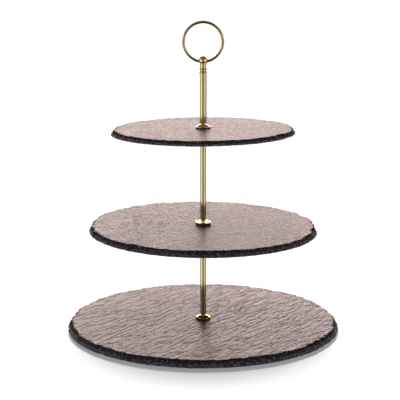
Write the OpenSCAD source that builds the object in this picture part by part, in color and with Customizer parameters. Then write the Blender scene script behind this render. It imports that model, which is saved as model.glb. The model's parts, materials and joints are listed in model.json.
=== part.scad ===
// Three-tier slate cake stand.
// Three hand-trimmed slate discs are clamped one above the other between brass pillars.
// Studs pass through the discs, a screw closes the stack from below, and a finial with a
// ring handle closes it on top. Z = 0 is the table, and the Z axis is the line of the pillars.

/* [Slate discs] */
// Diameter of the base disc
base_d = 300; // [260:5:340]
// Diameter of the middle disc
middle_d = 250; // [210:5:260]
// Diameter of the top disc
top_d = 200; // [150:5:210]
// Thickness of the base disc
base_t = 7.5; // [5:0.5:9]
// Thickness of the middle disc
middle_t = 7; // [5:0.5:9]
// Thickness of the top disc
top_t = 5.5; // [4:0.5:8]
// How much narrower the base disc's upper face is, each side
base_bevel = 5; // [2:0.5:6]
// How much narrower the middle disc's upper face is, each side
middle_bevel = 3.5; // [2:0.5:6]
// How much narrower the top disc's upper face is, each side
top_bevel = 4; // [2:0.5:6]
// Diameter of the hole drilled through each disc
disc_hole_d = 6; // [5:0.5:8]

/* [Pillars] */
// Length of each of the two pillars between the tiers
pillar_len = 95.5; // [60:0.5:140]
// Diameter of the pillars between the tiers
pillar_d = 6.4; // [6.2:0.1:7]
// Length of the pillar above the top disc
handle_pillar_len = 56.4; // [40:0.2:90]
// Diameter of the pillar above the top disc
handle_pillar_d = 7.3; // [6.2:0.1:8]

/* [Washers and seals] */
// Diameter of the bell-shaped washers and of the washers under the discs
washer_d = 16; // [14:0.5:20]
// Diameter of the flat washer on the middle disc
flat_washer_d = 17.6; // [14:0.2:20]
// Height at which each pillar stands above the seal under it
washer_t = 1.8; // [1.2:0.1:2.4]
// Height of the bell-shaped washers on the base and top discs
bell_h = 3.2; // [2.6:0.1:3.2]
// Thickness of the washers under the discs
under_washer_t = 1.2; // [0.8:0.1:1.2]
// Diameter of the rubber seals
seal_d = 17; // [14:0.2:18]
// Thickness of the rubber seals
seal_t = 1; // [0.5:0.1:1.2]

/* [Ring handle] */
// Outer diameter of the ring
ring_d = 44.8; // [38:0.2:60]
// Diameter of the ring's wire
ring_wire_d = 2.8; // [2.4:0.1:3]

/* [Feet] */
// Diameter of each rubber foot
foot_d = 16; // [10:1:22]
// Height of each rubber foot
foot_h = 4; // [3.8:0.1:6]
// Diameter of the circle that the feet stand on
foot_circle_d = 230; // [120:5:236]

/* [Hidden] */
$fn = 96;

// M4 threads, drawn as plain cylinders
stud_r = 2;
tapped_r = 2.05;
thread_engaged = 10;
tapped_depth = 12;
washer_hole_r = 2.2;
chamfer = 0.4;

// The neck turned at the foot of each pillar, and the seat it stands in
neck_r = 2.7;
neck_h = 2;
seat_clearance = 0.1;

// Bell washer
bell_rim_h = 0.8;
bell_shoulder_r = 4;
bell_steps = 14;

// Base screw
screw_head_r = 5.5;
screw_head_h = 1.3;
screw_slot_w = 1.2;
screw_slot_depth = 0.6;

// Finial, with heights above the top of the handle pillar
finial_neck_r = 3.4;
head_neck_r = 3.4;
bead_r = 4.9;
bead_t = 1.4;
bead_heights = [1.5, 5];
eye_h = 12.5;
head_h = 14;
head_r = 4.6;
spigot_len = 9;
eye_clearance = 0.1;
eye_flare_from = 1.4;
eye_flare_slope = 0.2;

// Ring centre line and wire
ring_wire_r = ring_wire_d / 2;
ring_centre_r = ring_d / 2 - ring_wire_r;

// Heights of the stack, from the table up
base_z = foot_h;
base_top_z = base_z + base_t;
lower_pillar_z = base_top_z + seal_t + washer_t;
middle_z = lower_pillar_z + pillar_len + under_washer_t + seal_t;
middle_top_z = middle_z + middle_t;
middle_pillar_z = middle_top_z + seal_t + washer_t;
top_z = middle_pillar_z + pillar_len + under_washer_t + seal_t;
top_top_z = top_z + top_t;
handle_pillar_z = top_top_z + seal_t + washer_t;
finial_z = handle_pillar_z + handle_pillar_len;
eye_z = finial_z + eye_h;

// ---- Shapes that repeat ----

// A slate disc, wider at its lower face, with a drilled centre hole.
module slate_disc(d, t, bevel) {
    lower_edge = 0.8;
    color("#6b5f5e")
    rotate_extrude()
    polygon([
        [disc_hole_d / 2, 0],
        [d / 2 - lower_edge, 0],
        [d / 2, lower_edge],
        [d / 2 - bevel, t],
        [disc_hole_d / 2, t]
    ]);
}

// A stick-on rubber foot with a rounded lower edge.
module foot(side_x, side_y) {
    round_r = 1.2;
    steps = 6;
    color("#1d1c1c")
    translate([side_x * foot_circle_d / 2 * cos(45), side_y * foot_circle_d / 2 * sin(45), 0])
    rotate_extrude()
    polygon(concat(
        [[0, 0]],
        [for (i = [0:steps])
            let (a = -90 + 90 * i / steps)
            [foot_d / 2 - round_r + round_r * cos(a), round_r + round_r * sin(a)]],
        [[foot_d / 2, foot_h], [0, foot_h]]
    ));
}

// A flat ring with its outer edges broken by a small chamfer.
module flat_ring(d, t, hole_r, edge) {
    rotate_extrude()
    polygon([
        [hole_r, 0],
        [d / 2 - edge, 0],
        [d / 2, edge],
        [d / 2, t - edge],
        [d / 2 - edge, t],
        [hole_r, t]
    ]);
}

module seal() {
    color("#1d1c1c") flat_ring(seal_d, seal_t, washer_hole_r, 0.15);
}

module under_washer() {
    color("#c9a24a") flat_ring(washer_d, under_washer_t, washer_hole_r, 0.3);
}

// A bell-shaped washer: a thin rim, a curved slope up to a shoulder, and a seat for a pillar's neck.
module bell_washer() {
    seat_r = neck_r + seat_clearance;
    slope = [for (i = [0:bell_steps])
        let (t = i / bell_steps)
        [
            washer_d / 2 - t * (washer_d / 2 - bell_shoulder_r),
            bell_rim_h + (bell_h - bell_rim_h) * (1 - cos(180 * t)) / 2
        ]];
    color("#c9a24a")
    rotate_extrude()
    polygon(concat(
        [[washer_hole_r, 0], [washer_d / 2 - 0.2, 0], [washer_d / 2, 0.2]],
        slope,
        [[seat_r, bell_h], [seat_r, washer_t], [washer_hole_r, washer_t]]
    ));
}

// A double-ended stud.
module stud(len) {
    color("#a8a39a")
    rotate_extrude()
    polygon([
        [0, 0],
        [stud_r - chamfer, 0],
        [stud_r, chamfer],
        [stud_r, len - chamfer],
        [stud_r - chamfer, len],
        [0, len]
    ]);
}

// A turned pillar: a neck at its foot, and a blind tapped hole in each end.
module pillar(len, d) {
    r = d / 2;
    edge = 0.3;
    color("#c9a24a")
    rotate_extrude()
    polygon([
        [tapped_r, 0],
        [neck_r, 0],
        [neck_r, neck_h],
        [r - edge, neck_h],
        [r, neck_h + edge],
        [r, len - edge],
        [r - edge, len],
        [tapped_r, len],
        [tapped_r, len - tapped_depth],
        [0, len - tapped_depth],
        [0, tapped_depth],
        [tapped_r, tapped_depth]
    ]);
}

// ---- Pieces that occur once ----

// A slotted screw that pulls the base disc up against the lower pillar.
module base_screw() {
    head_top_z = base_z - seal_t - under_washer_t;
    head_z = head_top_z - screw_head_h;
    shank_top_z = lower_pillar_z + thread_engaged;
    color("#c9a24a")
    difference() {
        rotate_extrude()
        polygon([
            [0, head_z],
            [screw_head_r - 0.6, head_z],
            [screw_head_r, head_z + 0.6],
            [screw_head_r, head_top_z],
            [stud_r, head_top_z],
            [stud_r, shank_top_z - chamfer],
            [stud_r - chamfer, shank_top_z],
            [0, shank_top_z]
        ]);
        translate([-screw_head_r - 1, -screw_slot_w / 2, head_z - 1])
        cube([2 * screw_head_r + 2, screw_slot_w, 1 + screw_slot_depth]);
    }
}

// The right-hand outline of one rounded bead, whose middle is at height h.
function bead_outline(h, neck) = [for (a = [-90:15:90])
    [neck + (bead_r - neck) * cos(a), h + bead_t / 2 * sin(a)]];

// The finial: a threaded spigot, two beads, and a ball head with a cross-drilled eye.
module finial() {
    color("#c9a24a")
    translate([0, 0, finial_z])
    difference() {
        union() {
            rotate_extrude()
            polygon(concat(
                [
                    [0, -spigot_len],
                    [stud_r - chamfer, -spigot_len],
                    [stud_r, chamfer - spigot_len],
                    [stud_r, 0],
                    [finial_neck_r, 0]
                ],
                bead_outline(bead_heights[0], finial_neck_r),
                bead_outline(bead_heights[1], finial_neck_r),
                [[head_neck_r, bead_heights[1] + bead_t / 2], [head_neck_r, head_h], [0, head_h]]
            ));
            translate([0, 0, head_h]) sphere(r = head_r);
        }
        translate([0, 0, eye_h]) eye_bore();
    }
}

// The eye: a cross-drilled hole whose two mouths are countersunk for the curve of the ring.
module eye_bore() {
    r = ring_wire_r + eye_clearance;
    reach = head_r + 1;
    mouth_r = r + (reach - eye_flare_from) * eye_flare_slope;
    rotate([0, 90, 0]) {
        cylinder(r = r, h = 2 * reach, center = true);
        for (side = [0, 180])
            rotate([side, 0, 0])
            translate([0, 0, eye_flare_from])
            cylinder(r1 = r, r2 = mouth_r, h = reach - eye_flare_from);
    }
}

// The ring, standing upright with its lowest point in the eye.
module ring_handle() {
    color("#c9a24a")
    translate([0, 0, eye_z + ring_centre_r])
    rotate([90, 0, 0])
    rotate_extrude()
    translate([ring_centre_r, 0]) circle(r = ring_wire_r);
}

// ---- Nodes ----

translate([0, 0, base_z]) slate_disc(base_d, base_t, base_bevel);  // base_disc
translate([0, 0, middle_z]) slate_disc(middle_d, middle_t, middle_bevel);  // middle_disc
translate([0, 0, top_z]) slate_disc(top_d, top_t, top_bevel);  // top_disc

foot(-1, -1);  // foot_front_left
foot(1, -1);  // foot_front_right
foot(-1, 1);  // foot_rear_left
foot(1, 1);  // foot_rear_right

base_screw();
translate([0, 0, base_z - seal_t - under_washer_t]) under_washer();  // base_under_washer
translate([0, 0, base_z - seal_t]) seal();  // base_under_seal
translate([0, 0, base_top_z]) seal();  // base_upper_seal
translate([0, 0, base_top_z + seal_t]) bell_washer();  // base_bell_washer
translate([0, 0, lower_pillar_z]) pillar(pillar_len, pillar_d);  // lower_pillar

translate([0, 0, lower_pillar_z + pillar_len - thread_engaged])  // middle_stud
    stud(middle_pillar_z - lower_pillar_z - pillar_len + 2 * thread_engaged);
translate([0, 0, middle_z - seal_t - under_washer_t]) under_washer();  // middle_under_washer
translate([0, 0, middle_z - seal_t]) seal();  // middle_under_seal
translate([0, 0, middle_top_z]) seal();  // middle_upper_seal
translate([0, 0, middle_top_z + seal_t])  // middle_flat_washer
    color("#c9a24a") flat_ring(flat_washer_d, washer_t, washer_hole_r, 0.4);
translate([0, 0, middle_pillar_z]) pillar(pillar_len, pillar_d);  // middle_pillar

translate([0, 0, middle_pillar_z + pillar_len - thread_engaged])  // top_stud
    stud(handle_pillar_z - middle_pillar_z - pillar_len + 2 * thread_engaged);
translate([0, 0, top_z - seal_t - under_washer_t]) under_washer();  // top_under_washer
translate([0, 0, top_z - seal_t]) seal();  // top_under_seal
translate([0, 0, top_top_z]) seal();  // top_upper_seal
translate([0, 0, top_top_z + seal_t]) bell_washer();  // top_bell_washer
translate([0, 0, handle_pillar_z]) pillar(handle_pillar_len, handle_pillar_d);  // handle_pillar

finial();
ring_handle();
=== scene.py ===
"""Looks of the three-tier slate cake stand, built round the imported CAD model. All lengths are metres."""

import itertools
import json
import math

import bmesh
import bpy
import numpy as np
from mathutils import Matrix, Vector


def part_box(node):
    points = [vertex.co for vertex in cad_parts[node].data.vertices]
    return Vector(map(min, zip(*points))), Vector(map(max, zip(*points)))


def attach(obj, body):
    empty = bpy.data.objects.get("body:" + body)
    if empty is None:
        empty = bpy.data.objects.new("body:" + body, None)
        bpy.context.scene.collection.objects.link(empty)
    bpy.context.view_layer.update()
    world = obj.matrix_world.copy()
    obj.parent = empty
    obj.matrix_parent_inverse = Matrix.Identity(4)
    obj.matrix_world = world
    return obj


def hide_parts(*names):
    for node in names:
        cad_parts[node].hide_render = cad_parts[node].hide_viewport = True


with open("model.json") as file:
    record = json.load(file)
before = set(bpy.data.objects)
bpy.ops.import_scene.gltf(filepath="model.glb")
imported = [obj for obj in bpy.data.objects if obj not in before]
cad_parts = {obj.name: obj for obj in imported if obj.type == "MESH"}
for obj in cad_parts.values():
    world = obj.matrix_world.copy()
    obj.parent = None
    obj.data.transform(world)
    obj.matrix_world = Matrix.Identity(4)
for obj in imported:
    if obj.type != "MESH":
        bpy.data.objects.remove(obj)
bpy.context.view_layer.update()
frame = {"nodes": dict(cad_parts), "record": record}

MM = 0.001
NODES = frame["nodes"]


# ---- Mesh tools ----


def lattice(cell, seed):
    """A repeatable number from 0 to 1 for each whole-number point of a lattice."""
    part = cell.astype(np.uint64) & np.uint64(0xFFFFFFFF)
    mixed = part[..., 0] * np.uint64(374761393) + part[..., 1] * np.uint64(668265263)
    mixed = mixed + part[..., 2] * np.uint64(1442695041) + np.uint64(seed * 1274126177)
    mixed = mixed & np.uint64(0xFFFFFFFF)
    mixed = ((mixed ^ (mixed >> np.uint64(13))) * np.uint64(1274126177)) & np.uint64(0xFFFFFFFF)
    return (mixed ^ (mixed >> np.uint64(16))).astype(float) / 0xFFFFFFFF


def noise(points, size, seed, octaves=1):
    """Smooth noise from -1 to 1 at points (n, 3), with features about size across."""
    total, weight = 0, 0
    for octave in range(octaves):
        scaled = points / size * 2**octave
        cell = np.floor(scaled).astype(np.int64)
        share = scaled - cell
        share = share * share * (3 - 2 * share)
        value = 0
        for corner in itertools.product((0, 1), repeat=3):
            pull = np.prod(np.where(corner, share, 1 - share), axis=-1)
            value = value + pull * lattice(cell + np.array(corner), seed + octave)
        total = total + (2 * value - 1) / 2**octave
        weight += 1 / 2**octave
    return total / weight


def add_mesh(name, points, faces, material, body, replaced):
    """A new piece that rides on a body and takes the place of CAD nodes."""
    mesh = bpy.data.meshes.new(name)
    mesh.from_pydata([tuple(p) for p in points], [], faces)
    mesh.materials.append(material)
    mesh.update()
    piece = bpy.data.objects.new(name, mesh)
    bpy.context.scene.collection.objects.link(piece)
    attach(piece, body)
    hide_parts(*replaced)
    return piece


def stitch(faces, first, n_first, second, n_second):
    """Joins two rings of points, given by their first index and count.

    The counts are equal, or one of them is 1, or one is double the other."""
    if n_first == n_second == 1:
        return
    if n_first == n_second:
        for i in range(n_first):
            j = (i + 1) % n_first
            faces.append((first + i, second + i, second + j, first + j))
    elif n_first == 1:
        for i in range(n_second):
            faces.append((first, second + i, second + (i + 1) % n_second))
    elif n_second == 1:
        for i in range(n_first):
            faces.append((second, first + (i + 1) % n_first, first + i))
    elif n_first == 2 * n_second:
        for i in range(n_second):
            a, b, c = first + 2 * i, first + 2 * i + 1, first + (2 * i + 2) % n_first
            d, e = second + i, second + (i + 1) % n_second
            faces.extend([(a, d, b), (b, d, e), (b, e, c)])
    else:
        for i in range(n_first):
            a, b, c = second + 2 * i, second + 2 * i + 1, second + (2 * i + 2) % n_second
            d, e = first + i, first + (i + 1) % n_first
            faces.extend([(d, a, b), (d, b, e), (e, b, c)])


def join_rings(rings, closed):
    """Points and faces of a skin over rings of points. A closed skin joins its last ring to its first."""
    starts = np.cumsum([0] + [len(r) for r in rings])
    faces = []
    for i in range(len(rings) - (0 if closed else 1)):
        j = (i + 1) % len(rings)
        stitch(faces, int(starts[i]), len(rings[i]), int(starts[j]), len(rings[j]))
    return np.concatenate(rings), faces


def rounded(corners, steps=4, guard=0.25):
    """An outline through corners (r, z, fillet), with each filleted corner rounded.

    A point is added on each long side next to a fillet, so that smooth shading stays in the fillet."""
    points = [Vector(c[:2]) for c in corners]
    outline = []
    for i, (corner, (_, _, fillet)) in enumerate(zip(points, corners)):
        if not fillet:
            outline.append(tuple(corner))
            continue
        before, after = points[i - 1] - corner, points[(i + 1) % len(points)] - corner
        reach_in, reach_out = min(fillet, before.length * 0.45), min(fillet, after.length * 0.45)
        start = corner + before.normalized() * reach_in
        end = corner + after.normalized() * reach_out
        outline.append(tuple(start + before.normalized() * reach_in * guard))
        for k in range(steps + 1):
            t = k / steps
            outline.append(tuple(start * (1 - t) ** 2 + corner * 2 * t * (1 - t) + end * t**2))
        outline.append(tuple(end + after.normalized() * reach_out * guard))
    return outline


def turned(name, outline, z, material, replaced):
    """A lathe-turned piece from an outline of (radius, height) in mm, standing at height z in metres."""
    segments = 96
    angle = np.arange(segments) * 2 * math.pi / segments
    around = np.stack([np.cos(angle), np.sin(angle)], axis=1)
    rings = []
    for r, h in outline:
        if r <= 0:
            rings.append(np.array([[0, 0, h]]))
        else:
            rings.append(np.column_stack([around * r, np.full(segments, h)]))
    points, faces = join_rings(rings, True)
    points = points * MM + np.array([0, 0, z])
    piece = add_mesh(name, points, faces, material, "stand", replaced)
    shade_smooth(piece, 50)
    return piece


def shade_smooth(piece, sharp_degrees):
    """Outward faces, smooth shading, and a hard edge wherever faces meet at a sharper angle."""
    shape = bmesh.new()
    shape.from_mesh(piece.data)
    bmesh.ops.recalc_face_normals(shape, faces=shape.faces)
    for face in shape.faces:
        face.smooth = True
    shape.to_mesh(piece.data)
    shape.free()
    piece.data.set_sharp_from_angle(angle=math.radians(sharp_degrees))


# ---- Materials ----


def tree_of(owner):
    """The nodes and links of a material or world."""
    return owner.node_tree.nodes, owner.node_tree.links


def new_material(name):
    """A new material and its shader."""
    material = bpy.data.materials.new(name)
    material.use_nodes = True
    nodes, _ = tree_of(material)
    return material, nodes["Principled BSDF"]


def add_node(material, kind, inputs=None, **settings):
    """A shader node, with settings on the node and values or sockets on its inputs."""
    nodes, links = tree_of(material)
    node = nodes.new(kind)
    for key, value in settings.items():
        setattr(node, key, value)
    for key, value in (inputs or {}).items():
        if isinstance(value, bpy.types.NodeSocket):
            links.new(value, node.inputs[key])
        else:
            node.inputs[key].default_value = value
    return node


def noise_texture(material, vector, size, detail=4, roughness=0.55):
    """Noise from 0 to 1 whose features are about size metres across."""
    return add_node(
        material,
        "ShaderNodeTexNoise",
        {"Vector": vector, "Scale": 1 / size, "Detail": detail, "Roughness": roughness},
    ).outputs["Fac"]


def remap(material, value, low, high, new_low=0.0, new_high=1.0):
    """A value moved from the range low to high to a new range, and held inside it."""
    return add_node(
        material,
        "ShaderNodeMapRange",
        {"Value": value, "From Min": low, "From Max": high, "To Min": new_low, "To Max": new_high},
    ).outputs["Result"]


def mixed(material, factor, a, b):
    """A blend of two colours."""
    node = add_node(material, "ShaderNodeMix", data_type="RGBA")
    _, links = tree_of(material)
    for index, value in ((0, factor), (6, a), (7, b)):
        if isinstance(value, bpy.types.NodeSocket):
            links.new(value, node.inputs[index])
        else:
            node.inputs[index].default_value = value if index == 0 else (*value, 1)
    return node.outputs[2]


def place_in_object(material, turn=0.0, stretch=(1, 1, 1), shift=(0, 0, 0)):
    """Coordinates fixed to the object, turned about Z by turn degrees and then stretched."""
    where = add_node(material, "ShaderNodeTexCoord").outputs["Object"]
    turned_to = add_node(
        material,
        "ShaderNodeMapping",
        {"Vector": where, "Rotation": (0, 0, math.radians(-turn)), "Location": shift},
    ).outputs["Vector"]
    scale = tuple(1 / s for s in stretch)
    return add_node(
        material, "ShaderNodeMapping", {"Vector": turned_to, "Scale": scale}
    ).outputs["Vector"]


def bumped(material, height, distance, strength=1.0, below=None):
    """A normal raised by height, times distance, on top of the normal below."""
    inputs = {"Height": height, "Distance": distance, "Strength": strength}
    if below is not None:
        inputs["Normal"] = below
    return add_node(material, "ShaderNodeBump", inputs).outputs["Normal"]


def chipped_shade(material, even, pitted):
    """The colour of chipped slate, with pale flakes: painted shade, near black, under the upper edge, and
    painted light, greyer, lower down.
    """
    drop = add_node(material, "ShaderNodeAttribute", attribute_name="drop").outputs["Fac"]
    speck = noise_texture(material, even, 0.0016, 3, 0.7)
    patch = noise_texture(material, even, 0.0060, 3, 0.6)
    # Painted shade and light, by 'drop': near black under the upper edge, greyer lower down.
    shade = mixed(material, remap(material, drop, 0.30, 0.75), (0.005, 0.003, 0.005), (0.036, 0.033, 0.040))
    shade = mixed(material, remap(material, patch, 0.52, 0.56, 0, 0.8), shade, (0.012, 0.009, 0.012))
    # The pale specks follow 'drop' too: painted shade, darker under the upper edge, and painted light, paler
    # lower down.
    pale = mixed(material, remap(material, drop, 0.15, 0.60), (0.05, 0.042, 0.050), (0.190, 0.180, 0.205))
    shade = mixed(material, remap(material, speck, 0.52, 0.62, 0, 0.9), shade, pale)
    return mixed(material, remap(material, pitted, 0.66, 0.70), shade, (0.42, 0.38, 0.37))


def make_chipped(name, shift):
    """Freshly broken slate, as on the rims: dull, dark and sharply grained, with painted shade under the
    upper edge and painted light lower down.
    """
    material, shader = new_material(name)
    _, links = tree_of(material)
    even = place_in_object(material, shift=shift)
    pitted = noise_texture(material, even, 0.0032, 4, 0.6)
    grit = noise_texture(material, even, 0.0011, 4, 0.7)
    links.new(chipped_shade(material, even, pitted), shader.inputs["Base Color"])
    links.new(remap(material, grit, 0.3, 0.7, 0.55, 0.85), shader.inputs["Roughness"])
    shader.inputs["IOR"].default_value = 1.3
    coarse = bumped(material, pitted, 1.0 * MM, 1.0)
    links.new(bumped(material, grit, 0.35 * MM, 1.0, coarse), shader.inputs["Normal"])
    return material


def make_slate(name, grain_turn, ridged, shift):
    """The riven face of slate: mauve grey, mottled and grained, with a line of painted shade at the foot of
    each ridge, and chipped where 'rim' nears 1, in the rim's painted shade.

    ridged runs from 0, a finely pitted face, to 1, a face with long dark ridges."""
    material, shader = new_material(name)
    _, links = tree_of(material)
    even = place_in_object(material, shift=shift)
    along = place_in_object(material, turn=grain_turn, stretch=(5.5, 1, 1), shift=shift)
    edge = add_node(material, "ShaderNodeAttribute", attribute_name="rim").outputs["Fac"]

    mottle = noise_texture(material, even, 0.014, 6, 0.62)
    cloud = noise_texture(material, even, 0.06, 3)
    ridge = noise_texture(material, along, 0.0046, 3, 0.55)
    grain = noise_texture(material, along, 0.0022, 5, 0.6)
    pitted = noise_texture(material, even, 0.0036, 4, 0.6)

    # The mark fades in over the last few millimetres of the face, and noise breaks it into chips, which take
    # the rim's colour: painted shade, near black, along the upper edge.
    ragged = add_node(material, "ShaderNodeMath", {0: edge, 1: pitted}, operation="ADD").outputs[0]
    rim = remap(material, ragged, 0.98, 1.08)

    # Mottle, broad clouds, pale grain, light and dark flecks, and a dark line of painted shade at the foot
    # of each ridge.
    face = mixed(material, remap(material, mottle, 0.35, 0.65), (0.046, 0.026, 0.024), (0.076, 0.047, 0.043))
    face = mixed(material, remap(material, cloud, 0.35, 0.65, 0, 0.6), face, (0.055, 0.037, 0.036))
    face = mixed(material, remap(material, grain, 0.35, 0.75, 0, 0.4), face, (0.125, 0.088, 0.081))
    flecked = 0.7 - 0.4 * ridged
    face = mixed(material, remap(material, pitted, 0.60, 0.68, 0, flecked), face, (0.230, 0.180, 0.165))
    face = mixed(material, remap(material, pitted, 0.40, 0.32, 0, flecked), face, (0.018, 0.012, 0.012))
    # Painted shade: a dark line in the crease at the foot of each ridge step.
    line = remap(material, ridge, 0.44, 0.46, 0, 0.6 * ridged)
    line_end = remap(material, ridge, 0.46, 0.49, 1, 0)
    line = add_node(material, "ShaderNodeMath", {0: line, 1: line_end}, operation="MULTIPLY").outputs[0]
    face = mixed(material, line, face, (0.014, 0.009, 0.009))
    links.new(mixed(material, rim, face, chipped_shade(material, even, pitted)), shader.inputs["Base Color"])

    # The chips and the dark lines of painted shade are dull, the rest has a satin gloss.
    satin = remap(material, pitted, 0.30, 0.66, 0.26, 0.54 - 0.12 * ridged)
    dull = add_node(material, "ShaderNodeMath", {0: line, 1: rim}, operation="MAXIMUM").outputs[0]
    extra = remap(material, dull, 0, 1, 0, 0.45)
    rough = add_node(material, "ShaderNodeMath", {0: satin, 1: extra}, operation="ADD").outputs[0]
    links.new(rough, shader.inputs["Roughness"])
    shader.inputs["IOR"].default_value = 1.5 - 0.14 * ridged

    coarse = bumped(material, mottle, 1.6 * MM, 0.4 - 0.15 * ridged)
    step = bumped(material, remap(material, ridge, 0.42, 0.54), 0.5 * MM, ridged, coarse)
    pits = bumped(material, pitted, 2.2 * MM, 1.0 - 0.85 * ridged, step)
    links.new(bumped(material, grain, 0.55 * MM, 0.9, pits), shader.inputs["Normal"])
    return material


def make_brass(name, deep, pale):
    """Polished, lacquered brass: a faint lathe grain, and a thin haze from deep to pale."""
    material, shader = new_material(name)
    _, links = tree_of(material)
    even = place_in_object(material)
    rings = place_in_object(material, stretch=(30, 30, 1))
    haze = noise_texture(material, even, 0.012, 4)
    lathe = noise_texture(material, rings, 0.0003, 2)
    links.new(mixed(material, remap(material, haze, 0.3, 0.7), deep, pale), shader.inputs["Base Color"])
    links.new(remap(material, haze, 0.3, 0.7, 0.07, 0.13), shader.inputs["Roughness"])
    links.new(bumped(material, lathe, 0.004 * MM, 0.5), shader.inputs["Normal"])
    shader.inputs["Metallic"].default_value = 1
    return material


def make_rubber():
    """Matt black rubber with a fine moulded grain."""
    material, shader = new_material("black_rubber")
    _, links = tree_of(material)
    even = place_in_object(material)
    grain = noise_texture(material, even, 0.0006, 3)
    dust = noise_texture(material, even, 0.004, 4)
    colour = mixed(material, dust, (0.012, 0.012, 0.012), (0.030, 0.028, 0.028))
    links.new(colour, shader.inputs["Base Color"])
    links.new(remap(material, dust, 0.3, 0.7, 0.62, 0.8), shader.inputs["Roughness"])
    links.new(bumped(material, grain, 0.05 * MM, 0.6), shader.inputs["Normal"])
    return material


def make_steel():
    """Zinc-plated steel."""
    material, shader = new_material("plated_steel")
    _, links = tree_of(material)
    even = place_in_object(material)
    spangle = noise_texture(material, even, 0.0015, 4)
    links.new(mixed(material, spangle, (0.50, 0.50, 0.49), (0.68, 0.67, 0.64)), shader.inputs["Base Color"])
    links.new(remap(material, spangle, 0.3, 0.7, 0.22, 0.36), shader.inputs["Roughness"])
    shader.inputs["Metallic"].default_value = 1
    return material


BRASS = make_brass("polished_brass", (0.83, 0.61, 0.23), (0.88, 0.67, 0.29))
# The ring's brass is the polished brass at about 0.6 of its brightness: painted shade.
SHADED_BRASS = make_brass("shaded_brass", (0.47, 0.34, 0.12), (0.56, 0.42, 0.17))
RUBBER, STEEL = make_rubber(), make_steel()


# ---- Slate discs ----


def chip_bites(angle, radius, rng, count, width, depth):
    """How far the edge is bitten back at each angle, in metres: scallops that meet at cusps."""
    bite = np.zeros(len(angle))
    for _ in range(count):
        centre = rng.uniform(0, 2 * math.pi)
        half = rng.uniform(*width) * MM
        deep = rng.uniform(*depth) * MM * (half / (width[1] * MM)) ** 0.5
        away = (angle - centre + math.pi) % (2 * math.pi) - math.pi
        bite = np.maximum(bite, deep * (1 - (away * radius / half) ** 2))
    return bite


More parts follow.
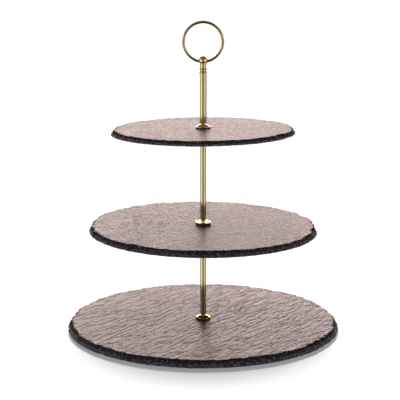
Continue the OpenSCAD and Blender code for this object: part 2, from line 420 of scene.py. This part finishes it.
def slate_disc(node, bevel, seed, grain_turn, ridged, lean=(0, 0), rests=()):
    """A riven slate disc: rough chipped rim, uneven faces, and a drilled centre hole.

    lean is the rise towards +X and +Y that the uneven slate gives it, and rests are the places
    (x, y, radius) on its lower face that stay flat for feet."""
    rng = np.random.default_rng(seed)
    low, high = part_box(node)
    radius, bottom, top = (high.x - low.x) / 2, low.z, high.z
    count = int(radius / (0.75 * MM) * 2 * math.pi / 16) * 16
    hole, face_r, edge_band = 3 * MM, radius - bevel, 15 * MM
    angle = np.arange(count) * 2 * math.pi / count
    around = np.stack([np.cos(angle), np.sin(angle), np.zeros(count)], axis=1)
    circle = around * radius

    girth = int(2 * math.pi * radius / (9 * MM))
    wave = noise(circle, 22 * MM, seed + 2, 2)
    jag = noise(circle, 2.4 * MM, seed + 1, 2)
    bite = chip_bites(angle, radius, rng, girth // 3, (8, 18), (0.5, 2.2))
    bite = bite + chip_bites(angle, radius, rng, girth, (2.5, 7), (0.5, 2.6))
    bite = bite + chip_bites(angle, radius, rng, 3 * girth, (1.2, 2.6), (0.2, 1.1))
    top_edge = face_r + (1.9 - 0.35 * wave) * MM - bite + 0.6 * MM * jag
    nick = chip_bites(angle, radius, rng, girth // 2, (1.5, 6), (0.1, 1.2))
    bottom_edge = radius - 0.15 * MM - nick - 0.15 * MM * (1 + noise(circle, 3 * MM, seed + 5, 2))

    rings, rims, drops = [], [], []

    def add_ring(r, z, is_rim, drop=0.0):
        """Adds a ring of points, with how much of it is rim and how far down the rim it is."""
        rings.append(np.column_stack([around[:, :2] * np.asarray(r)[:, None], z * np.ones(count)]))
        rims.append(is_rim)
        drops.append(drop)

    # Upper face, from the hole to the edge, with its rings closer together near both.
    near_hole = 14 * MM
    inner = np.concatenate([
        np.arange(hole, near_hole, 2 * MM),
        np.arange(near_hole, face_r - 16 * MM, 3 * MM),
        np.linspace(face_r - edge_band, face_r, 13)[:-1],
    ])
    for r in inner:
        pull = np.clip((r - (face_r - edge_band)) / edge_band, 0, 1)
        add_ring(r + pull * (top_edge - face_r), top, 0)
    wide = 1.0 + 0.45 * noise(circle, 5 * MM, seed + 17, 2)
    sunk = (0.9 + 0.9 * noise(circle, 3.4 * MM, seed + 19, 2)).clip(0.1) * MM
    lip = (0.5 + 0.6 * noise(circle, 4 * MM, seed + 21, 2)).clip(0.1) * MM
    for inset, mark in ((2.0, 0.15), (1.5, 0.3), (1.0, 0.5), (0.5, 0.7)):
        add_ring(top_edge - inset * wide * MM, top - sunk * (1 - inset / 2.0) ** 2, mark)

    # Rim: steep and hollow under the upper edge, then flaring out to the lower one.
    rows = 16
    hollow = 0.35 * MM + 0.25 * bite + 0.25 * MM * noise(circle, 7 * MM, seed + 7, 2)
    for k in range(rows + 1):
        t = k / rows
        z = top - sunk + (bottom + lip - top + sunk) * t
        where = circle + np.column_stack([0 * z, 0 * z, z])
        ledge = ((z / (1.3 * MM) + 0.8 * noise(circle, 12 * MM, seed + 8)) % 1.0) - 0.5
        rough = 0.40 * noise(where, 2.6 * MM, seed + 9, 3) - 0.30 * ledge
        r = top_edge + (bottom_edge - top_edge) * t**1.6 - hollow * math.sin(math.pi * t**0.7)
        r = r + rough * MM * math.sin(math.pi * t) ** 0.5
        add_ring(np.minimum(r, radius), z, 1, t)

    # Lower face, from the lower edge back to the hole.
    for inset in (0.8, 2, 4, 7, 11, 16):
        add_ring(bottom_edge - inset * MM, bottom, 1 if inset < 1 else 0, 1.0)
    for r in np.arange(radius - 22 * MM, hole, -5 * MM):
        add_ring(np.full(count, r), bottom, 0, 1.0)
    add_ring(np.full(count, hole), bottom, 0, 1.0)

    # Fewer points on the rings near the centre.
    kept = []
    for ring, is_rim in zip(rings, rims):
        r = np.hypot(ring[0, 0], ring[0, 1])
        step = 1 if is_rim > 0 or r > face_r - 12 * MM else 2
        for limit in (0.5, 0.25, 0.12):
            if r < radius * limit:
                step *= 2
        kept.append(ring[::step])
    rim_mark = np.concatenate([np.full(len(k), m, float) for k, m in zip(kept, rims)])
    drop_mark = np.concatenate([np.full(len(k), d, float) for k, d in zip(kept, drops)])

    # Riven relief: both faces lie a little inside the CAD slab, and flat where a seal or foot sits,
    # and then the disc leans.
    points, faces = join_rings(kept, True)
    r = np.hypot(points[:, 0], points[:, 1])
    turn = math.radians(grain_turn)
    across, along, grain_stretch = math.sin(turn), math.cos(turn), 2.5
    spun = points @ np.array([[along, -across, 0], [across, along, 0], [0, 0, 1]])
    spun = spun / np.array([grain_stretch, 1, 1])
    relief = 0.5 + 0.5 * noise(spun, 26 * MM, seed + 11, 4)
    flake = np.clip(8 * (noise(spun, 34 * MM, seed + 13, 3) - 0.12), 0, 1)
    clear = np.clip((r - 11 * MM) / (10 * MM), 0, 1)
    fall = (0.30 * relief + 0.20 * flake) * MM * clear
    under = 0.5 * fall
    for x, y, rest_r in rests:
        away = np.hypot(points[:, 0] - x, points[:, 1] - y)
        under = under * np.clip((away - rest_r) / (6 * MM), 0, 1)
    near_edge = np.clip((r - (face_r - 7 * MM)) / (7 * MM), 0, 1)
    crumble = np.clip(noise(points, 6 * MM, seed + 15, 3) - 0.1, 0, 1) * near_edge
    share = np.clip((points[:, 2] - bottom) / (top - bottom), 0, 1) ** 3
    is_bottom = points[:, 2] < bottom + 1e-6
    points[:, 2] -= (fall * (1 - 0.6 * near_edge) + 0.9 * MM * crumble) * share
    points[is_bottom, 2] += under[is_bottom]
    points[:, 2] += clear * (points[:, 0] * lean[0] + points[:, 1] * lean[1])

    shift = tuple(rng.uniform(-1, 1, 3))
    material = make_slate(node + "_slate", grain_turn, ridged, shift)
    piece = add_mesh(node + "_riven", points, faces, material, "stand", [node])
    piece.data.materials.append(make_chipped(node + "_chipped", shift))
    on_rim = [int(min(rim_mark[list(face)]) == 1) for face in faces]
    piece.data.polygons.foreach_set("material_index", on_rim)
    shade_smooth(piece, 180)
    # 'rim' marks the chipped edge; 'drop' sets the rim's painted shade, darkest under the upper edge, and
    # painted light lower down.
    for name, values in (("rim", rim_mark), ("drop", drop_mark)):
        mark = piece.data.attributes.new(name, "FLOAT", "POINT")
        mark.data.foreach_set("value", values.astype(np.float32))
    return piece


FEET = [name for name in NODES if name.startswith("foot")]
FOOT_RESTS = []
for name in FEET:
    corner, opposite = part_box(name)
    place = (corner + opposite) / 2
    FOOT_RESTS.append((place.x, place.y, 9 * MM))

slate_disc("base_disc", 5 * MM, 11, 55, 1.0, rests=FOOT_RESTS)
slate_disc("middle_disc", 3.5 * MM, 23, 35, 0.35, lean=(-0.008, 0.007))
slate_disc("top_disc", 4 * MM, 37, 20, 0.15, lean=(0.009, -0.006))


# ---- Turned fittings ----


# The radius, in mm, of the hole in each washer and seal, and of a tapped M4 hole.
WASHER_HOLE_R = 2.2
TAPPED_R = 2.05
# The height of the finial's eye, in metres.
EYE_HEIGHT = frame["record"]["behaviour"]["joints"][0]["pos_m"][2]


def height_of(node):
    """The height of a node's lowest point, in metres."""
    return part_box(node)[0].z


def size_of(node):
    """A round node's radius and height, in millimetres."""
    low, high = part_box(node)
    return (high.x - low.x) / 2 / MM, (high.z - low.z) / MM


def seal(node):
    """A rubber seal, squeezed so that its side bulges."""
    r, t = size_of(node)
    side = [(r - 0.25 + 0.25 * math.sin(math.pi * k / 8), t * k / 8) for k in range(9)]
    outline = [(WASHER_HOLE_R, 0)] + side + [(WASHER_HOLE_R, t)]
    turned(node + "_rubber", outline, height_of(node), RUBBER, [node])


def flat_washer(node, fillet):
    """A flat turned washer, with its outer edges rounded by the fillet."""
    r, t = size_of(node)
    hole = WASHER_HOLE_R
    outline = rounded([(hole, 0, 0.15), (r, 0, fillet), (r, t, fillet), (hole, t, 0.15)])
    turned(node + "_turned", outline, height_of(node), BRASS, [node])


def bell_washer(node):
    """A washer whose flared skirt rises to a flat crown round the seat of the pillar's neck."""
    r, h = size_of(node)
    crown_r, seat_r, seat_h, skirt_h = 4, 2.8, 1.8, 0.8
    outline = [(WASHER_HOLE_R, 0), (r - 0.2, 0), (r - 0.05, 0.05), (r, 0.2), (r, 0.6), (r - 0.05, 0.75)]
    for k in range(21):
        rise = (1 - math.cos(math.pi * k / 20)) / 2
        outline.append((r - 0.15 - k / 20 * (r - 0.15 - crown_r), skirt_h + (h - 0.2 - skirt_h) * rise))
    outline += [(crown_r - 0.15, h), (crown_r - 0.4, h), (seat_r + 0.15, h), (seat_r, h - 0.12)]
    outline += [(seat_r, seat_h), (WASHER_HOLE_R, seat_h)]
    turned(node + "_turned", outline, height_of(node), BRASS, [node])


def pillar(node):
    """A pillar with a neck at its foot, softened edges, and a blind tapped hole in each end."""
    r, length = size_of(node)
    neck_r, neck_h, tapped, drilled, tap_r = 2.7, 2, 12, 12.6, TAPPED_R
    corners = [(tap_r, 0, 0), (neck_r, 0, 0.15), (neck_r, neck_h, 0.1), (r, neck_h, 0.35), (r, length, 0.35)]
    outline = rounded(corners)
    outline += [(tap_r + 0.3, length), (tap_r, length - 0.3)]
    outline += [(tap_r, length - tapped), (0, length - drilled), (0, drilled), (tap_r, tapped)]
    turned(node + "_turned", outline, height_of(node), BRASS, [node])


def thread_rings(bottom, top, outer=2.0, pitch=0.7, segments=36):
    """Rings of points, in mm, of an M4 thread from one height to the other, with run-outs at both ends."""
    depth, end_depth, end_length = 0.43, 0.4, 0.6
    angle = np.arange(segments) * 2 * math.pi / segments
    rings = []
    for z in np.linspace(bottom, top, int((top - bottom) / pitch * 8) + 1):
        phase = (z / pitch - angle / (2 * math.pi)) % 1.0
        flank = np.clip(1.35 - 2.7 * np.abs(phase - 0.5), 0.1, 1.0)
        end = min(z - bottom, top - z) / end_length
        r = outer - depth * (1 - flank) - end_depth * (1 - min(1.0, max(0.0, end)))
        rings.append(np.column_stack([np.cos(angle) * r, np.sin(angle) * r, np.full(segments, z)]))
    return rings


def from_rings(name, rings, z, material, replaced):
    """A closed piece from rings of points in mm, with its two ends capped by their centre points."""
    low, high = rings[0][:, 2].mean(), rings[-1][:, 2].mean()
    points, faces = join_rings([np.array([[0, 0, low]])] + rings + [np.array([[0, 0, high]])], False)
    points = points * MM + np.array([0, 0, z])
    piece = add_mesh(name, points, faces, material, "stand", replaced)
    shade_smooth(piece, 50)
    return piece


def circles(outline, segments=36):
    """A ring of points for each (radius, height) of an outline."""
    angle = np.arange(segments) * 2 * math.pi / segments
    x, y = np.cos(angle), np.sin(angle)
    return [np.column_stack([x * r, y * r, np.full(segments, h)]) for r, h in outline]


def cut(piece, cutter):
    """Takes the cutter's shape out of the piece, and throws the cutter away."""
    change = piece.modifiers.new("cut", "BOOLEAN")
    change.object = cutter
    change.solver = "EXACT"
    view = bpy.context.evaluated_depsgraph_get()
    result = bpy.data.meshes.new_from_object(piece.evaluated_get(view), depsgraph=view)
    piece.modifiers.clear()
    piece.data = result
    bpy.data.objects.remove(cutter)
    shade_smooth(piece, 40)


def loose_shape(name, rings, turn=None):
    """A closed shape from rings of points in mm, for use as a cutter."""
    low, high = rings[0].mean(axis=0), rings[-1].mean(axis=0)
    points, faces = join_rings([low[None, :]] + rings + [high[None, :]], False)
    points = points * MM
    if turn is not None:
        points = points @ np.array(turn)
    mesh = bpy.data.meshes.new(name)
    mesh.from_pydata([tuple(p) for p in points], [], faces)
    mesh.update()
    shape = bpy.data.objects.new(name, mesh)
    bpy.context.scene.collection.objects.link(shape)
    shade_smooth(shape, 40)
    return shape


def stud(node):
    """A steel stud, threaded from end to end."""
    _, length = size_of(node)
    rings = circles([(1.5, 0)]) + thread_rings(0.05, length - 0.05) + circles([(1.5, length)])
    from_rings(node + "_threaded", rings, height_of(node), STEEL, [node])


def base_screw():
    """A slotted screw whose domed head faces the table."""
    r, length = size_of("base_screw")
    head = 1.3
    face = [(0.6, 0), (r - 1.6, 0), (r - 0.9, 0.06), (r - 0.45, 0.22), (r - 0.15, 0.5)]
    side = [(r, 0.8), (r, head - 0.12), (r - 0.12, head), (2.2, head), (1.95, head + 0.1)]
    rings = circles(face + side, 72)
    rings += thread_rings(head + 0.3, length, segments=72)
    z = height_of("base_screw")
    piece = from_rings("base_screw_slotted", rings, z, BRASS, ["base_screw"])
    # The slot is cut right across the head.
    x, y, depth = 7, 0.6, 0.6
    square = np.array([[-x, -y], [x, -y], [x, y], [-x, y]])
    slot = loose_shape("slot", [np.column_stack([square, np.full(4, h)]) for h in (-1, depth)])
    slot.location.z = z
    cut(piece, slot)


def finial():
    """Two beads and a ball head on a threaded spigot, with a flared eye drilled across the head."""
    low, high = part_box("finial")
    spigot, head_r, neck_r, bead_r = 9.0, 4.6, 3.4, 4.9
    shoulder = low.z + spigot * MM
    head_h = (high.z - shoulder) / MM - head_r
    outline = [(1.6, -0.5), (1.6, 0), (neck_r - 0.2, 0), (neck_r, 0.12), (neck_r, 0.55)]
    lower_bead, upper_bead, half_bead = 1.5, 5.0, 0.72
    for middle in (lower_bead, upper_bead):
        for a in np.radians(range(-80, 81, 10)):
            swell = math.cos(a) ** 0.7
            outline.append((neck_r + (bead_r - neck_r) * swell, middle + half_bead * math.sin(a)))
        if middle == lower_bead:
            outline += [(neck_r, 2.6), (neck_r - 0.1, 3.25), (neck_r, 3.9)]
    outline += [(neck_r + 0.05, 5.85), (neck_r, 6.3), (neck_r, 9.6)]
    start = -math.acos((neck_r + 0.25) / head_r)
    outline += [(neck_r + 0.05, head_h + head_r * math.sin(start) - 0.35)]
    for k in range(25):
        a = start + (math.pi / 2 - 0.03 - start) * k / 24
        outline.append((head_r * math.cos(a), head_h + head_r * math.sin(a)))
    rings = thread_rings(-spigot, -0.5, segments=96) + circles(outline, 96)
    piece = from_rings("finial_turned", rings, shoulder, BRASS, ["finial"])

    # The eye clears the wire by 0.1 mm, and both its mouths flare, as in CAD, for the ring's curve.
    wire_low, wire_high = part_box("ring_handle")
    eye_r = (wire_high.y - wire_low.y) / 2 / MM + 0.1
    flare_from, flare_slope, reach = 1.4, 0.2, 6
    mouth_r = eye_r + flare_slope * (reach - flare_from)
    bore = [(mouth_r, -reach), (eye_r, -flare_from), (eye_r, flare_from), (mouth_r, reach)]
    lying = [[0, 0, 1], [0, 1, 0], [-1, 0, 0]]
    cutter = loose_shape("eye", circles(bore, 96), lying)
    cutter.location.z = EYE_HEIGHT
    cut(piece, cutter)


def ring_handle():
    """The round wire ring, standing upright with its lowest point in the finial's eye."""
    low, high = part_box("ring_handle")
    wire = (high.y - low.y) / 2
    middle = (low.z + high.z) / 2
    path = (high.z - low.z) / 2 - wire
    rings = []
    section = np.arange(40) * 2 * math.pi / 40
    for a in np.arange(240) * 2 * math.pi / 240:
        out = path + wire * np.cos(section)
        height = middle + out * math.sin(a)
        rings.append(np.column_stack([out * math.cos(a), wire * np.sin(section), height]))
    points, faces = join_rings(rings, True)
    # The ring wears the darker copy of the brass: painted shade.
    piece = add_mesh("ring_handle_wire", points, faces, SHADED_BRASS, "ring", ["ring_handle"])
    shade_smooth(piece, 180)


def foot(node):
    """A stick-on rubber foot with a rounded lower edge and a hollowed face."""
    low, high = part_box(node)
    r, h = size_of(node)
    edge_r = 1.2
    outline = [(0.6, 0.5), (r * 0.35, 0.5), (r * 0.45, 0.1), (r * 0.5, 0)]
    for a in np.radians(range(-80, 1, 10)):
        outline.append((r - edge_r + edge_r * math.cos(a), edge_r + edge_r * math.sin(a)))
    outline += [(r - 0.1, h - 0.15), (r - 0.25, h)]
    piece = from_rings(node + "_rubber", circles(outline, 64), 0, RUBBER, [node])
    piece.data.transform(Matrix.Translation(((low.x + high.x) / 2, (low.y + high.y) / 2, low.z)))


for name in NODES:
    if name.endswith("seal"):
        seal(name)
    elif name.endswith("under_washer"):
        flat_washer(name, 0.3)
    elif name.endswith("flat_washer"):
        flat_washer(name, 0.6)
    elif name.endswith("bell_washer"):
        bell_washer(name)
    elif name.endswith("pillar"):
        pillar(name)
    elif name.endswith("stud"):
        stud(name)
    elif name in FEET:
        foot(name)
base_screw()
finial()
ring_handle()


# ---- Floor, light and camera ----


def make_floor():
    """A white table top, lit a little from inside as a light table is, and clear when seen from below."""
    material, shader = new_material("white_table")
    _, links = tree_of(material)
    shader.inputs["Base Color"].default_value = (0.84, 0.83, 0.82, 1)
    shader.inputs["Roughness"].default_value = 0.9
    shader.inputs["Specular IOR Level"].default_value = 0.0
    shader.inputs["Emission Color"].default_value = (0.96, 1, 1, 1)
    shader.inputs["Emission Strength"].default_value = 0.24
    below = add_node(material, "ShaderNodeNewGeometry").outputs["Backfacing"]
    clear = add_node(material, "ShaderNodeBsdfTransparent").outputs[0]
    pick = add_node(material, "ShaderNodeMixShader", {0: below, 1: shader.outputs[0], 2: clear})
    nodes, _ = tree_of(material)
    links.new(pick.outputs[0], nodes["Material Output"].inputs["Surface"])
    reach = 4
    mesh = bpy.data.meshes.new("floor")
    corners = [(-reach, -reach, 0), (reach, -reach, 0), (reach, reach, 0), (-reach, reach, 0)]
    mesh.from_pydata(corners, [], [(0, 1, 2, 3)])
    mesh.materials.append(material)
    floor = bpy.data.objects.new("floor", mesh)
    floor.visible_glossy = False
    bpy.context.scene.collection.objects.link(floor)


def ramp_of(owner, value, stops):
    """A colour ramp on a value from 0 to 1, with stops of (place, colour)."""
    node = add_node(owner, "ShaderNodeValToRGB", {"Fac": value})
    ramp = node.color_ramp
    while len(ramp.elements) < len(stops):
        ramp.elements.new(0.5)
    for element, (place, colour) in zip(ramp.elements, stops):
        element.position = place
        element.color = (*colour, 1)
    return node.outputs["Color"]


def make_world():
    """A dark studio with a low, bright backdrop behind the stand and a panel each side of the camera.

    The camera itself sees plain white past the edge of the table."""
    strength = 6.0
    world = bpy.data.worlds.new("studio")
    bpy.context.scene.world = world
    world.use_nodes = True
    nodes, links = tree_of(world)
    where = add_node(world, "ShaderNodeTexCoord").outputs["Generated"]
    split = add_node(world, "ShaderNodeSeparateXYZ", {0: where}).outputs
    away = add_node(world, "ShaderNodeMath", {0: split["Y"], 1: -1.0}, operation="MULTIPLY").outputs[0]
    bearing = add_node(world, "ShaderNodeMath", {0: split["X"], 1: away}, operation="ARCTAN2").outputs[0]
    bearing = remap(world, bearing, -math.pi, math.pi)
    # Bearings in degrees from the camera's side, with left negative, and the light that comes from
    # there, first for level and downward directions and then for upward ones.
    backdrop, gap, dark = (6.30, 5.17, 4.94), (0.13, 0.12, 0.13), (0.10, 0.08, 0.03)
    panel, soft, half = (1.02, 1.12, 1.35), (0.72, 0.84, 0.98), (0.56, 0.63, 0.74)
    low = [
        (-180, gap), (-106, gap), (-92, panel), (-48, panel), (-32, half), (-14, dark), (10, dark),
        (24, half), (38, soft), (60, soft), (92, half), (106, gap), (180, gap),
    ]
    bright = (1.9, 1.9, 2.0)
    high = [
        (-180, backdrop), (-158, backdrop), (-146, gap), (-106, gap), (-92, bright), (-48, bright),
        (-34, half), (-14, dark), (10, dark), (28, half), (44, soft), (50, bright), (84, bright),
        (94, half), (106, gap), (146, gap), (158, backdrop), (180, backdrop),
    ]
    bands = []
    for bearings in (low, high):
        stops = [((turn + 180) / 360, tuple(c / strength for c in colour)) for turn, colour in bearings]
        bands.append(ramp_of(world, bearing, stops))
    band = mixed(world, remap(world, split["Z"], 0.02, 0.08), bands[0], bands[1])
    ceiling = (0.027, 0.023, 0.020)
    seen = mixed(world, remap(world, split["Z"], 0.21, 0.39), band, ceiling)
    room = nodes["Background"]
    links.new(seen, room.inputs["Color"])
    room.inputs["Strength"].default_value = strength
    plain = add_node(world, "ShaderNodeBackground", {"Color": (1, 1, 1, 1)}).outputs[0]
    to_camera = add_node(world, "ShaderNodeLightPath").outputs["Is Camera Ray"]
    pick = add_node(world, "ShaderNodeMixShader", {0: to_camera, 1: room.outputs[0], 2: plain})
    links.new(pick.outputs[0], nodes["World Output"].inputs["Surface"])


def make_top_light():
    """A large soft light high behind the stand, so that its shadow falls a little forward."""
    light = bpy.data.lights.new("top_light", "SUN")
    light.energy = 2.7
    light.angle = math.radians(26)
    lamp = bpy.data.objects.new("top_light", light)
    lamp.rotation_euler = (math.radians(-18), 0, 0)
    lamp.visible_glossy = False
    bpy.context.scene.collection.objects.link(lamp)


def make_camera():
    """A long lens 1.3 m in front of the stand, a little higher than its ring, looking down at it."""
    look_down = 11.35
    camera = bpy.data.cameras.new("camera")
    camera.lens = 112.2
    camera.sensor_width = 36
    camera.shift_x = -0.0079
    holder = bpy.data.objects.new("camera", camera)
    holder.location = (0, -1.3363, 0.414)
    holder.rotation_euler = (math.radians(90 - look_down), 0, 0)
    bpy.context.scene.collection.objects.link(holder)
    bpy.context.scene.camera = holder


make_floor()
make_world()
make_top_light()
make_camera()
bpy.context.scene.view_settings.view_transform = "Standard"
